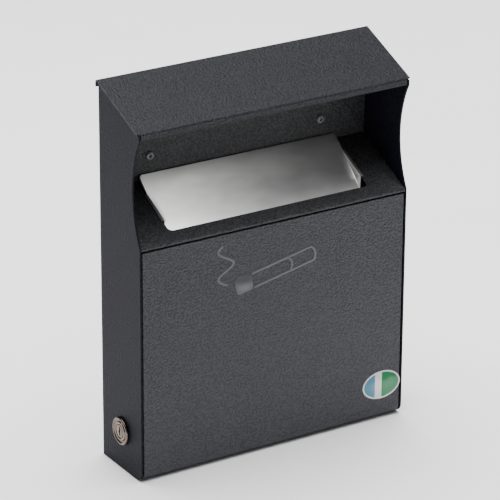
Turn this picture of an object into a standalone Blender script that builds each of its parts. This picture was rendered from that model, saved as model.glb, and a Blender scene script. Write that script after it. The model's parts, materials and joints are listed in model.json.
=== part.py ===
"""Wall-mounted ashtray bin: folded sheet-steel housing under a sloping roof, a stainless
stub-out plate over a drop slot, a top-hinged front door held by a cam lock, and a loose
collector inside.  Metres, +Z up, the front faces -Y and the wall is at +Y.

While modelling, z = 0 is the bottom edge and y = 0 is the middle of the depth.  The last
step moves the origin to the middle of the back panel's wall face.
"""
import math

import bmesh
import bpy
from mathutils import Matrix

# ---- driving dimensions -------------------------------------------------------------
WIDTH = 0.270              # over the roof
DEPTH = 0.070              # front face to wall plane
HEIGHT = 0.3462            # bottom edge to the roof's rear corner, before its bend
SHEET = 0.0015             # housing sheet
INNER_SHEET = 0.0012       # sheet of the parts fitted inside
GAP = 0.0003               # between neighbouring pieces
WALL_STANDOFF = 0.0018     # rear lip and pads stand this far behind the back panel
FRONT_FACE = -DEPTH / 2
WALL_PLANE = DEPTH / 2
BACK_FACE = WALL_PLANE - WALL_STANDOFF
ORIGIN_HEIGHT = 0.165      # origin: on the wall face of the back panel, this far up

ROOF_DROP = 0.0286         # fall of the roof from wall to front
ROOF_OVERHANG = 0.001      # past each side panel
ROOF_LIP_FRONT = 0.0056
ROOF_LIP_REAR = 0.0072
ROOF_LIP_RELIEF = 0.0035   # the front lip stops short of each end
ROOF_FLANGE = 0.009

SIDE_OUT = WIDTH / 2 - ROOF_OVERHANG
SIDE_IN = SIDE_OUT - SHEET
ARC_TOP = 0.3115           # the scooped front edge of the side panels
ARC_BOTTOM = 0.2160
ARC_INSET = 0.0115
SIDE_CORNER = 0.009        # radius at the foot of the front edge

LEDGE_FRONT_Z = 0.2163     # top of the ledge at the front face
LEDGE_SLOPE = 0.490
LEDGE_LIP = 0.0026
LEDGE_FLANGE_TOP = 0.334
SLOT_LEFT = -0.0990
SLOT_RIGHT = 0.1010
SLOT_FRONT = FRONT_FACE + 0.0110
SLOT_BACK = 0.0205
SLOT_CORNER = 0.0045

PLATE_SHEET = 0.0010
PLATE_RISE = 0.0058        # middle of its rear edge, above the ledge
PLATE_DIP = 0.0105         # middle of its front edge, below the ledge
PLATE_FRONT = -0.0140
PLATE_MARGIN = 0.0006      # plate cheeks to the slot's edge
CHEEK_RIM = 0.0022         # turned-out rim that rests on the ledge

RIVET_X = 0.086
RIVET_Z = 0.2690
RIVET_HEAD = 0.0040        # radius
RIVET_SHANK = 0.0020

AXIS_Y = -0.0290           # door hinge
AXIS_Z = 0.2065
ROD_RADIUS = 0.0015
ROD_RUN = 0.00008          # running clearance in the door's ears
DOOR_SIDE_GAP = 0.0012
DOOR_TOP = 0.2121
DOOR_BEND = 0.0080
DOOR_RETURN = -0.0170
DOOR_FLANGE = -0.0205      # rear edge of the door's side flanges

FLOOR_FRONT = -0.0157
FLOOR_FLANGE = 0.012
COLLECTOR_LEFT = -0.104
COLLECTOR_RIGHT = 0.122
COLLECTOR_FRONT = -0.0270
COLLECTOR_BACK = 0.0290
COLLECTOR_TOP = 0.188
COLLECTOR_WALL = 0.0010
STOP_LOW = 0.070
STOP_HIGH = 0.086

LOCK_Y = -0.0020
LOCK_Z = 0.0361
LOCK_HEAD = 0.0126         # radius
LOCK_HEAD_H = 0.0027
BARREL = 0.0095            # radius
BARREL_FLAT = 0.0080       # half the width across its flats
PLUG = 0.0060              # radius
CAM_LENGTH = 0.0250
CAM_HALF = 0.0060
KEEPER_LOW = 0.050
KEEPER_HIGH = 0.063

MARK_X = 0.0000            # middle of the printed cigarette
MARK_Z = 0.1689
MARK_TILT = 11.5            # degrees
MARK_LENGTH = 0.0822
MARK_THICK = 0.0154
MARK_LINE = 0.0022

SCREW_HOLE = 0.0035
SCREW_X = 0.095
SCREW_ROWS = (0.060, 0.170)
STEPS = 48                 # facets round a circle

COLLECTION = "ashtray_bin"

COLOURS = {                # linear base colour, roughness, metallic
    "powder_coat": ((0.063, 0.065, 0.074), 0.55, 0.0),
    "ledge_coat": ((0.050, 0.052, 0.058), 0.55, 0.0),
    "stainless": ((0.60, 0.59, 0.57), 0.22, 1.0),
    "zinc": ((0.52, 0.53, 0.54), 0.38, 1.0),
    "rivet_alloy": ((0.075, 0.076, 0.082), 0.45, 0.3),
    "lock_nickel": ((0.42, 0.37, 0.32), 0.28, 1.0),
    "galvanised": ((0.45, 0.46, 0.47), 0.45, 1.0),
    "print_grey": ((0.16, 0.165, 0.175), 0.5, 0.0),
    "label_film": ((0.78, 0.78, 0.76), 0.4, 0.0),
}


# ---- scene and materials ------------------------------------------------------------
def clear_scene():
    for obj in list(bpy.data.objects):
        bpy.data.objects.remove(obj, do_unlink=True)


def new_collection(name):
    coll = bpy.data.collections.new(name)
    bpy.context.scene.collection.children.link(coll)
    return coll


def make_material(name):
    colour, rough, metal = COLOURS[name]
    mat = bpy.data.materials.new(name)
    mat.use_nodes = True
    shader = mat.node_tree.nodes["Principled BSDF"]
    shader.inputs["Base Color"].default_value = (*colour, 1.0)
    shader.inputs["Roughness"].default_value = rough
    shader.inputs["Metallic"].default_value = metal
    mat.diffuse_color = (*colour, 1.0)
    return mat


# ---- outlines -----------------------------------------------------------------------
def arc(cx, cy, r, a0, a1, n):
    """Points on a circle from angle a0 to a1, degrees."""
    return [(cx + r * math.cos(math.radians(a0 + (a1 - a0) * i / n)),
             cy + r * math.sin(math.radians(a0 + (a1 - a0) * i / n)))
            for i in range(n + 1)]


def circle(cx, cy, r, n=STEPS):
    return arc(cx, cy, r, 0, 360 * (n - 1) / n, n - 1)


def rect(x0, y0, x1, y1):
    return [(x0, y0), (x1, y0), (x1, y1), (x0, y1)]


def round_rect(x0, y0, x1, y1, r, n=6):
    return (arc(x1 - r, y0 + r, r, -90, 0, n) + arc(x1 - r, y1 - r, r, 0, 90, n)
            + arc(x0 + r, y1 - r, r, 90, 180, n) + arc(x0 + r, y0 + r, r, 180, 270, n))


def bent_line(points, radii, n=8):
    """A polyline whose inner corners are rounded with the given radii."""
    line = [points[0]]
    for before, corner, after, r in zip(points, points[1:], points[2:], radii):
        ax, ay = before[0] - corner[0], before[1] - corner[1]
        bx, by = after[0] - corner[0], after[1] - corner[1]
        la, lb = math.hypot(ax, ay), math.hypot(bx, by)
        ax, ay, bx, by = ax / la, ay / la, bx / lb, by / lb
        half = math.acos(max(-1.0, min(1.0, ax * bx + ay * by))) / 2
        reach = r / math.tan(half)
        mx, my = ax + bx, ay + by
        lm = math.hypot(mx, my)
        cx = corner[0] + mx / lm * r / math.sin(half)
        cy = corner[1] + my / lm * r / math.sin(half)
        a0 = math.atan2(corner[1] + ay * reach - cy, corner[0] + ax * reach - cx)
        a1 = math.atan2(corner[1] + by * reach - cy, corner[0] + bx * reach - cx)
        turn = (a1 - a0 + math.pi) % (2 * math.pi) - math.pi
        line += [(cx + r * math.cos(a0 + turn * i / n), cy + r * math.sin(a0 + turn * i / n))
                 for i in range(n + 1)]
    return line + [points[-1]]


def thicken(line, t):
    """Closed outline of a strip of thickness t about a middle line."""
    left, right = [], []
    for i, (x, y) in enumerate(line):
        x0, y0 = line[max(i - 1, 0)]
        x1, y1 = line[min(i + 1, len(line) - 1)]
        length = math.hypot(x1 - x0, y1 - y0)
        nx, ny = -(y1 - y0) / length * t / 2, (x1 - x0) / length * t / 2
        left.append((x + nx, y + ny))
        right.append((x - nx, y - ny))
    return left + right[::-1]


def sheet(points, radii, t, n=8):
    return thicken(bent_line(points, radii, n), t)


# ---- solids -------------------------------------------------------------------------
TURNS = {
    "X": Matrix(((0, 0, 1), (1, 0, 0), (0, 1, 0))),
    "Y": Matrix(((1, 0, 0), (0, 0, -1), (0, 1, 0))),
    "Z": Matrix.Identity(3),
}


def prism(name, axis, outlines, lo, hi, coll, material=None):
    """Extrude outlines (the first solid, the rest holes) between lo and hi along axis.
    Outline coordinates are (y, z) for X, (x, z) for Y and (x, y) for Z."""
    curve = bpy.data.curves.new(name, "CURVE")
    curve.dimensions = "2D"
    curve.fill_mode = "BOTH"
    curve.extrude = (hi - lo) / 2
    for outline in outlines:
        spline = curve.splines.new("POLY")
        spline.points.add(len(outline) - 1)
        for point, (x, y) in zip(spline.points, outline):
            point.co = (x, y, 0, 1)
        spline.use_cyclic_u = True
    temp = bpy.data.objects.new(name + "_curve", curve)
    bpy.context.scene.collection.objects.link(temp)
    depsgraph = bpy.context.evaluated_depsgraph_get()
    mesh = bpy.data.meshes.new_from_object(temp.evaluated_get(depsgraph))
    bpy.data.objects.remove(temp, do_unlink=True)
    bm = bmesh.new()
    bm.from_mesh(mesh)
    bmesh.ops.remove_doubles(bm, verts=bm.verts, dist=1e-6)
    middle = (lo + hi) / 2
    shift = {"X": (middle, 0, 0), "Y": (0, middle, 0), "Z": (0, 0, middle)}[axis]
    bmesh.ops.transform(bm, matrix=Matrix.Translation(shift) @ TURNS[axis].to_4x4(),
                        verts=bm.verts)
    bmesh.ops.recalc_face_normals(bm, faces=bm.faces)
    bm.to_mesh(mesh)
    bm.free()
    mesh.name = name
    obj = bpy.data.objects.new(name, mesh)
    coll.objects.link(obj)
    if material:
        mesh.materials.clear()
        mesh.materials.append(material)
    return obj


def combine(obj, tool, operation):
    mod = obj.modifiers.new(operation.lower() + "_" + tool.name, "BOOLEAN")
    mod.solver = "EXACT"
    mod.operation = operation
    mod.object = tool
    tool.hide_render = True
    tool.display_type = "WIRE"


def smooth(obj, angle=35):
    mesh = obj.data
    mesh.shade_smooth()
    mesh.set_sharp_from_angle(angle=math.radians(angle))


def revolve(name, profile, centre, coll, material, turn=None, n=STEPS):
    """Turn an (along, radius) profile about the local X axis through centre."""
    bm = bmesh.new()
    rings = []
    for along, radius in profile:
        if radius <= 0:
            rings.append([bm.verts.new((along, 0, 0))])
        else:
            rings.append([bm.verts.new((along, radius * math.cos(2 * math.pi * k / n),
                                        radius * math.sin(2 * math.pi * k / n)))
                          for k in range(n)])
    closed = profile[0][1] > 0 and profile[-1][1] > 0
    pairs = list(zip(rings, rings[1:])) + ([(rings[-1], rings[0])] if closed else [])
    for a, b in pairs:
        for k in range(n):
            m = (k + 1) % n
            corners = [a[k % len(a)], a[m % len(a)], b[m % len(b)], b[k % len(b)]]
            face = [v for i, v in enumerate(corners) if v not in corners[:i]]
            bm.faces.new(face)
    bmesh.ops.transform(bm, matrix=turn or Matrix.Identity(4), verts=bm.verts)
    bmesh.ops.translate(bm, vec=centre, verts=bm.verts)
    bmesh.ops.recalc_face_normals(bm, faces=bm.faces)
    mesh = bpy.data.meshes.new(name)
    bm.to_mesh(mesh)
    bm.free()
    mesh.materials.append(material)
    obj = bpy.data.objects.new(name, mesh)
    coll.objects.link(obj)
    smooth(obj)
    return obj


# ---- shared levels ------------------------------------------------------------------
def roof_top(y):
    return HEIGHT - ROOF_DROP * (WALL_PLANE - y) / DEPTH


def roof_fall():
    """Vertical thickness of the sloping roof sheet."""
    return SHEET * math.hypot(1.0, ROOF_DROP / DEPTH)


def ledge_top(y):
    return LEDGE_FRONT_Z + LEDGE_SLOPE * (y - FRONT_FACE)


def ledge_fall(t=INNER_SHEET):
    return t * math.hypot(1.0, LEDGE_SLOPE)


# ---- housing ------------------------------------------------------------------------
def side_outline():
    top = [(y, roof_top(y) - roof_fall() - GAP)
           for y in (FRONT_FACE, BACK_FACE - 0.0016, BACK_FACE)]
    top[2] = (BACK_FACE, top[2][1] - 0.0018)      # clears the bend of the rear lip
    rise = (ARC_TOP - ARC_BOTTOM) / 2
    radius = (rise ** 2 + ARC_INSET ** 2) / (2 * ARC_INSET)
    middle_z = (ARC_TOP + ARC_BOTTOM) / 2
    half = math.degrees(math.asin(rise / radius))
    scoop = arc(FRONT_FACE + ARC_INSET - radius, middle_z, radius, half, -half, 24)
    foot = arc(FRONT_FACE + SIDE_CORNER, SIDE_CORNER, SIDE_CORNER, 180, 270, 10)
    return top[::-1] + scoop + foot + [(BACK_FACE, 0.0)]


def make_shell(parts, cutters, mats):
    shell = prism("shell", "X", [side_outline()], -SIDE_OUT, SIDE_OUT, parts,
                  mats["powder_coat"])
    inside = prism("shell_inside", "Z",
                   [rect(-SIDE_IN, FRONT_FACE - 0.05, SIDE_IN, BACK_FACE - SHEET)],
                   -0.05, HEIGHT + 0.05, cutters)
    combine(shell, inside, "DIFFERENCE")
    for i, (x, z) in enumerate((sx * SCREW_X, z) for z in SCREW_ROWS for sx in (-1, 1)):
        pad = prism(f"wall_pad_{i}", "Y", [circle(x, z, 0.010)], BACK_FACE - 0.0007,
                    WALL_PLANE, cutters)
        combine(shell, pad, "UNION")
        dimple = prism(f"wall_dimple_{i}", "Y", [circle(x, z, 0.0088)],
                       BACK_FACE - 0.004, WALL_PLANE - SHEET, cutters)
        combine(shell, dimple, "DIFFERENCE")
        hole = prism(f"wall_hole_{i}", "Y", [circle(x, z, SCREW_HOLE)],
                     BACK_FACE - 0.01, WALL_PLANE + 0.01, cutters)
        combine(shell, hole, "DIFFERENCE")
    for i, sx in enumerate((-1, 1)):
        hole = prism(f"shell_rivet_hole_{i}", "Y",
                     [circle(sx * RIVET_X, RIVET_Z, RIVET_SHANK + 0.0001)],
                     BACK_FACE - 0.01, BACK_FACE + 0.01, cutters)
        combine(shell, hole, "DIFFERENCE")
    keyed = double_flat(LOCK_Y, LOCK_Z, BARREL + 0.0001, BARREL_FLAT + 0.0001)
    hole = prism("shell_lock_hole", "X", [keyed], -SIDE_OUT - 0.005, -SIDE_IN + 0.005,
                 cutters)
    combine(shell, hole, "DIFFERENCE")
    return shell


def double_flat(cy, cz, r, flat):
    """Circle with two vertical flats."""
    cut = math.degrees(math.acos(flat / r))
    return (arc(cy, cz, r, cut, 180 - cut, 20) + arc(cy, cz, r, 180 + cut, 360 - cut, 20))


def make_canopy(parts, cutters, mats):
    y0, y1 = FRONT_FACE + SHEET / 2, WALL_PLANE - SHEET / 2
    drop = roof_fall() / 2
    path = [(y1, roof_top(WALL_PLANE) - ROOF_LIP_REAR), (y1, roof_top(y1) - drop),
            (y0, roof_top(y0) - drop), (y0, roof_top(FRONT_FACE) - ROOF_LIP_FRONT)]
    canopy = prism("canopy", "X", [sheet(path, [0.0016, 0.0016], SHEET)],
                   -WIDTH / 2, WIDTH / 2, parts, mats["powder_coat"])
    ya, yb = FRONT_FACE - 0.005, FRONT_FACE + 0.006
    under = [(y, roof_top(y) - roof_fall()) for y in (ya, yb)]
    notch = [(ya, under[0][1] - 0.02), (yb, under[1][1] - 0.02), under[1], under[0]]
    yc, yd = BACK_FACE - 0.006, BACK_FACE - 0.062
    fold = [(y, roof_top(y) - roof_fall() + 0.0005) for y in (yc, yd)]
    flange = fold + [(y, z - ROOF_FLANGE) for y, z in fold[::-1]]
    for name, sx in (("left", -1), ("right", 1)):
        edge = WIDTH / 2 - ROOF_LIP_RELIEF
        lo, hi = sorted((sx * edge, sx * (edge + 0.01)))
        combine(canopy, prism("lip_relief_" + name, "X", [notch], lo, hi, cutters),
                "DIFFERENCE")
        lo, hi = sorted((sx * (SIDE_IN - GAP), sx * (SIDE_IN - GAP - INNER_SHEET)))
        combine(canopy, prism("roof_flange_" + name, "X", [flange], lo, hi, cutters),
                "UNION")
    return canopy


def make_floor(parts, cutters, mats):
    y1 = BACK_FACE - SHEET - GAP - INNER_SHEET / 2
    half = INNER_SHEET / 2
    path = [(FLOOR_FRONT, half), (y1, half), (y1, FLOOR_FLANGE)]
    outer = SIDE_IN - GAP
    floor = prism("floor_plate", "X", [sheet(path, [0.0016], INNER_SHEET)],
                  -outer, outer, parts, mats["powder_coat"])
    for name, sx in (("left", -1), ("right", 1)):
        lo, hi = sorted((sx * outer, sx * (outer - INNER_SHEET)))
        side = rect(FLOOR_FRONT, half / 2, y1 - 0.003, FLOOR_FLANGE)
        combine(floor, prism("floor_side_" + name, "X", [side], lo, hi, cutters), "UNION")
    return floor


# ---- ledge and stub-out plate -------------------------------------------------------
def make_ledge(parts, cutters, mats):
    y0 = FRONT_FACE + INNER_SHEET / 2
    y1 = BACK_FACE - SHEET - GAP - INNER_SHEET / 2
    drop = ledge_fall() / 2
    path = [(y1, LEDGE_FLANGE_TOP), (y1, ledge_top(y1) - drop),
            (y0, ledge_top(y0) - drop), (y0, LEDGE_FRONT_Z - LEDGE_LIP)]
    outer = SIDE_IN - GAP
    ledge = prism("ledge", "X", [sheet(path, [0.0014, 0.0012], INNER_SHEET)],
                  -outer, outer, parts, mats["ledge_coat"])
    slot = prism("ledge_slot", "Z",
                 [round_rect(SLOT_LEFT, SLOT_FRONT, SLOT_RIGHT, SLOT_BACK, SLOT_CORNER)],
                 0.19, 0.27, cutters)
    combine(ledge, slot, "DIFFERENCE")
    ya, yb = -0.008, 0.028
    fold = [(y, ledge_top(y) - 0.0006) for y in (ya, yb)]
    flange = fold + [(y, z - 0.012) for y, z in fold[::-1]]
    for name, sx in (("left", -1), ("right", 1)):
        lo, hi = sorted((sx * outer, sx * (outer - INNER_SHEET)))
        combine(ledge, prism("ledge_flange_" + name, "X", [flange], lo, hi, cutters),
                "UNION")
        hole = prism("ledge_rivet_hole_" + name, "Y",
                     [circle(sx * RIVET_X, RIVET_Z, RIVET_SHANK + 0.0001)],
                     0.0, BACK_FACE, cutters)
        combine(ledge, hole, "DIFFERENCE")
    return ledge


def plate_line():
    """Middle line of the stub-out plate: one flat fall from the rear flange to the slot."""
    back = BACK_FACE - SHEET - GAP - INNER_SHEET - GAP - PLATE_SHEET * 0.8
    top = ledge_top(back) + PLATE_RISE
    foot = ledge_top(PLATE_FRONT) - PLATE_DIP
    return [(back, top), ((back + PLATE_FRONT) / 2, (top + foot) / 2), (PLATE_FRONT, foot)]


def make_stub_plate(parts, cutters, mats):
    """Cut the tray from its own side view: full height at the cheeks, a sheet between."""
    outline = thicken(plate_line(), PLATE_SHEET)
    lower, upper = sorted((outline[:3], outline[3:][::-1]), key=lambda side: side[1][1])
    rest = GAP + ledge_fall(PLATE_SHEET) / 2
    slope = (upper[0][1] - upper[2][1]) / (upper[0][0] - upper[2][0])

    def on_top(y):
        return upper[2][1] + slope * (y - upper[2][0])

    def rim_top(y):
        return ledge_top(y) + rest + PLATE_SHEET / 2

    meet = (rim_top(0) - on_top(0)) / (slope - LEDGE_SLOPE)
    nose = SLOT_FRONT + 0.0030
    side = lower + [(nose, rim_top(nose) - 0.0035), (nose, rim_top(nose)),
                    (meet, on_top(meet)), upper[0]]
    x0, x1 = SLOT_LEFT + PLATE_MARGIN, SLOT_RIGHT - PLATE_MARGIN
    plate = prism("stub_plate", "X", [side], x0, x1, parts, mats["stainless"])
    between = [(meet + 0.0004, on_top(meet + 0.0004) + 0.0002),
               (meet - 0.0010, on_top(meet - 0.0010)), upper[2], (upper[2][0], 0.200),
               (nose - 0.01, 0.200), (nose - 0.01, 0.250), (meet - 0.0010, 0.250)]
    combine(plate, prism("plate_hollow", "X", [between], x0 + PLATE_SHEET,
                         x1 - PLATE_SHEET, cutters), "DIFFERENCE")
    rim = [(y, ledge_top(y) + rest) for y in (SLOT_BACK - 0.002, nose + 0.0006)]
    for name, edge, sx in (("left", x0, -1), ("right", x1, 1)):
        lo, hi = sorted((edge - sx * PLATE_SHEET / 2, edge + sx * CHEEK_RIM))
        combine(plate, prism("plate_rim_" + name, "X", [thicken(rim, PLATE_SHEET * 0.8)],
                             lo, hi, cutters), "UNION")
    return plate


def make_rivet(name, x, parts, mats):
    """Dome head, shank with a mandrel hole in the head, flattened blind end."""
    face = BACK_FACE - SHEET - GAP - INNER_SHEET - GAP
    tail = BACK_FACE + GAP
    profile = [(face, RIVET_SHANK), (face, RIVET_HEAD), (face - 0.0005, RIVET_HEAD)]
    profile += [(face - 0.0005 - 0.0009 * math.sin(math.radians(a)),
                 0.0015 + 0.0025 * math.cos(math.radians(a))) for a in (15, 35, 60, 90)]
    profile += [(face - 0.0010, 0.0011), (face + 0.0005, 0.0011), (face + 0.0005, 0.0)]
    back = [(face, RIVET_SHANK), (tail, RIVET_SHANK), (tail, 0.0029),
            (tail + 0.0006, 0.0032), (tail + 0.0012, 0.0026), (tail + 0.0014, 0.0)]
    turn = Matrix.Rotation(math.radians(90), 4, "Z")
    return revolve(name, profile[::-1] + back[1:], (x, 0, RIVET_Z), parts,
                   mats["rivet_alloy"], turn)


# ---- hinge --------------------------------------------------------------------------
def bracket_outline():
    back = [(-0.008, ledge_top(-0.008)), (-0.022, ledge_top(-0.022))]
    back = [(y, z - ledge_fall() - GAP) for y, z in back]
    ring = arc(AXIS_Y, AXIS_Z, 0.0038, 40, 290, 20)
    return (back + [(AXIS_Y + 0.0075, AXIS_Z + 0.0032)] + ring
            + [(AXIS_Y + 0.0080, AXIS_Z - 0.0040), (-0.008, AXIS_Z + 0.0020)])


def make_bracket(name, sx, parts, cutters, mats):
    outer = SIDE_IN - DOOR_SIDE_GAP - SHEET - 0.0004
    lo, hi = sorted((sx * outer, sx * (outer - INNER_SHEET)))
    bore = circle(AXIS_Y, AXIS_Z, ROD_RADIUS + ROD_RUN)
    bracket = prism(name, "X", [bracket_outline(), bore], lo, hi, parts, mats["zinc"])
    foot = [(y, ledge_top(y) - ledge_fall() - GAP) for y in (-0.008, -0.022)]
    foot = foot + [(y, z - ledge_fall()) for y, z in foot[::-1]]
    lo, hi = sorted((sx * (outer - INNER_SHEET / 2), sx * (outer - 0.009)))
    combine(bracket, prism(name + "_foot", "X", [foot], lo, hi, cutters), "UNION")
    return bracket


def make_clip(name, sx, parts, mats):
    """Spring clip pushed on the rod inside each bracket."""
    outer = SIDE_IN - DOOR_SIDE_GAP - SHEET - 0.0004 - INNER_SHEET - GAP
    inner_r, outer_r = ROD_RADIUS + 0.00006, 0.0036
    ring = (arc(AXIS_Y, AXIS_Z, outer_r, -65, 245, 30)
            + arc(AXIS_Y, AXIS_Z, inner_r, 245, -65, 30))
    lo, hi = sorted((sx * outer, sx * (outer - 0.0008)))
    return prism(name, "X", [ring], lo, hi, parts, mats["zinc"])


# ---- door ---------------------------------------------------------------------------
def door_flange_outline():
    r = DOOR_BEND - SHEET / 4
    cy, cz = FRONT_FACE + SHEET / 2 + DOOR_BEND, SHEET / 2 + DOOR_BEND
    front, base = cy - r, cz - r
    return ([(front, AXIS_Z + 0.0030), (AXIS_Y + 0.0018, AXIS_Z + 0.0033),
             (AXIS_Y + 0.0036, AXIS_Z), (DOOR_FLANGE, AXIS_Z - 0.012),
             (DOOR_FLANGE, base)] + arc(cy, cz, r, 270, 180, 10))


def make_door(parts, cutters, mats):
    half = SIDE_IN - DOOR_SIDE_GAP
    y0, z0 = FRONT_FACE + SHEET / 2, SHEET / 2
    path = [(y0, DOOR_TOP), (y0, z0), (DOOR_RETURN, z0)]
    door = prism("door", "X", [sheet(path, [DOOR_BEND], SHEET, 14)], -half, half, parts,
                 mats["powder_coat"])
    bore = circle(AXIS_Y, AXIS_Z, ROD_RADIUS + ROD_RUN)
    for name, sx in (("left", -1), ("right", 1)):
        lo, hi = sorted((sx * half, sx * (half - SHEET)))
        flange = prism("door_flange_" + name, "X", [door_flange_outline(), bore], lo, hi,
                       cutters)
        combine(door, flange, "UNION")
    return door


def make_keeper(parts, mats):
    y0 = FRONT_FACE + SHEET + GAP + INNER_SHEET / 2
    y1 = LOCK_Y + CAM_HALF + 0.0006 + INNER_SHEET / 2
    path = [(-0.127, y0), (-0.1182, y0), (-0.1182, y1), (-0.1085, y1)]
    return prism("door_keeper", "Z", [sheet(path, [0.0014, 0.0014], INNER_SHEET)],
                 KEEPER_LOW, KEEPER_HIGH, parts, mats["zinc"])


def make_stop(name, sx, parts, mats):
    y0 = DOOR_FLANGE + GAP + INNER_SHEET / 2
    x0 = SIDE_IN - GAP - INNER_SHEET / 2
    path = [(sx * x0, -0.008), (sx * x0, y0), (sx * 0.1240, y0)]
    return prism(name, "Z", [sheet(path, [0.0014], INNER_SHEET)], STOP_LOW, STOP_HIGH,
                 parts, mats["zinc"])


def make_collector(parts, cutters, mats):
    z0 = INNER_SHEET + 0.0008
    outer = round_rect(COLLECTOR_LEFT, COLLECTOR_FRONT, COLLECTOR_RIGHT, COLLECTOR_BACK,
                       0.003, 5)
    w = COLLECTOR_WALL
    inner = round_rect(COLLECTOR_LEFT + w, COLLECTOR_FRONT + w, COLLECTOR_RIGHT - w,
                       COLLECTOR_BACK - w, 0.002, 5)
    collector = prism("collector", "Z", [outer], z0, COLLECTOR_TOP, parts,
                      mats["galvanised"])
    combine(collector, prism("collector_inside", "Z", [inner], z0 + w,
                             COLLECTOR_TOP + 0.02, cutters), "DIFFERENCE")
    grip = round_rect(-0.040, COLLECTOR_TOP - 0.034, 0.040, COLLECTOR_TOP - 0.012, 0.0105)
    combine(collector, prism("collector_grip", "Y", [grip], COLLECTOR_FRONT - 0.01,
                             COLLECTOR_FRONT + 0.01, cutters), "DIFFERENCE")
    return collector


# ---- lock ---------------------------------------------------------------------------
def make_lock_housing(parts, cutters, mats):
    face = -SIDE_OUT - GAP
    end = -0.1140
    bore = PLUG + 0.00008
    profile = [(end, bore), (end, BARREL), (face, BARREL), (face, LOCK_HEAD),
               (face - LOCK_HEAD_H + 0.0009, LOCK_HEAD),
               (face - LOCK_HEAD_H + 0.0003, LOCK_HEAD - 0.0004),
               (face - LOCK_HEAD_H, LOCK_HEAD - 0.0012), (face - LOCK_HEAD_H, bore)]
    housing = revolve("lock_housing", profile, (0, LOCK_Y, LOCK_Z), parts,
                      mats["lock_nickel"])
    for name, sy in (("front", -1), ("back", 1)):
        lo, hi = sorted((LOCK_Y + sy * BARREL_FLAT, LOCK_Y + sy * (BARREL + 0.003)))
        flat = rect(lo, LOCK_Z - 0.012, hi, LOCK_Z + 0.012)
        combine(housing, prism("barrel_flat_" + name, "X", [flat], face, end + 0.005,
                               cutters), "DIFFERENCE")
    return housing


def make_lock_nut(parts, mats):
    hexagon = [(LOCK_Y + 0.0139 * math.cos(math.radians(a)),
                LOCK_Z + 0.0139 * math.sin(math.radians(a))) for a in range(0, 360, 60)]
    lo = -SIDE_IN + GAP
    return prism("lock_nut", "X", [hexagon, circle(LOCK_Y, LOCK_Z, BARREL + 0.0001)],
                 lo, lo + 0.0040, parts, mats["zinc"])


def make_lock_plug(parts, cutters, mats):
    front = -SIDE_OUT - GAP - LOCK_HEAD_H + 0.0003
    profile = [(front, 0.0), (front, PLUG - 0.0004), (front + 0.0004, PLUG),
               (-0.1137, PLUG), (-0.1137, 0.0)]
    plug = revolve("lock_plug", profile, (0, 0, 0), parts, mats["lock_nickel"])
    tang = prism("plug_tang", "X", [rect(-0.003, -0.003, 0.003, 0.003)], -0.1145,
                 -0.1108, cutters)
    combine(plug, tang, "UNION")
    bore = prism("plug_screw_bore", "X", [circle(0, 0, 0.0017, 24)], -0.118, -0.100,
                 cutters)
    combine(plug, bore, "DIFFERENCE")
    slit = rect(-0.0006, -0.0042, 0.0006, 0.0042)
    combine(plug, prism("plug_keyway", "X", [slit], front - 0.01, front + 0.008, cutters),
            "DIFFERENCE")
    ward = rect(0.0003, -0.0012, 0.0015, 0.0008)
    combine(plug, prism("plug_ward", "X", [ward], front - 0.01, front + 0.0079, cutters),
            "DIFFERENCE")
    return plug


def make_lock_cam(parts, mats):
    hub = arc(0, 0, 0.0080, -60, 60, 12)
    tip = arc(-CAM_LENGTH + 0.003, 0, 0.003, 150, 210, 4)
    outline = hub + [(-0.006, CAM_HALF), (-CAM_LENGTH + 0.003, CAM_HALF - 0.001)]
    outline += tip + [(-CAM_LENGTH + 0.003, -CAM_HALF + 0.001), (-0.006, -CAM_HALF)]
    hole = rect(-0.0031, -0.0031, 0.0031, 0.0031)
    return prism("lock_cam", "X", [outline, hole], -0.1134, -0.1114, parts, mats["zinc"])


def make_cam_screw(parts, mats):
    profile = [(-0.1172, 0.0), (-0.1172, 0.0016), (-0.1105, 0.0016), (-0.1105, 0.0042),
               (-0.1085, 0.0042), (-0.1080, 0.0036), (-0.1080, 0.0)]
    return revolve("cam_screw", profile, (0, 0, 0), parts, mats["zinc"], n=32)


def make_rotor(parts, cutters, mats):
    """Plug, cam and screw ride on an empty at the lock's axis."""
    pivot = bpy.data.objects.new("lock_pivot", None)
    pivot.location = (0, LOCK_Y, LOCK_Z)
    parts.objects.link(pivot)
    before = set(cutters.objects)
    pieces = [make_lock_plug(parts, cutters, mats), make_lock_cam(parts, mats),
              make_cam_screw(parts, mats)]
    for obj in pieces + [c for c in cutters.objects if c not in before]:
        obj.parent = pivot


# ---- printed marks ------------------------------------------------------------------
def wavy(points, t, n=6):
    return sheet(points, [0.005] * (len(points) - 2), t, n)


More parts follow.
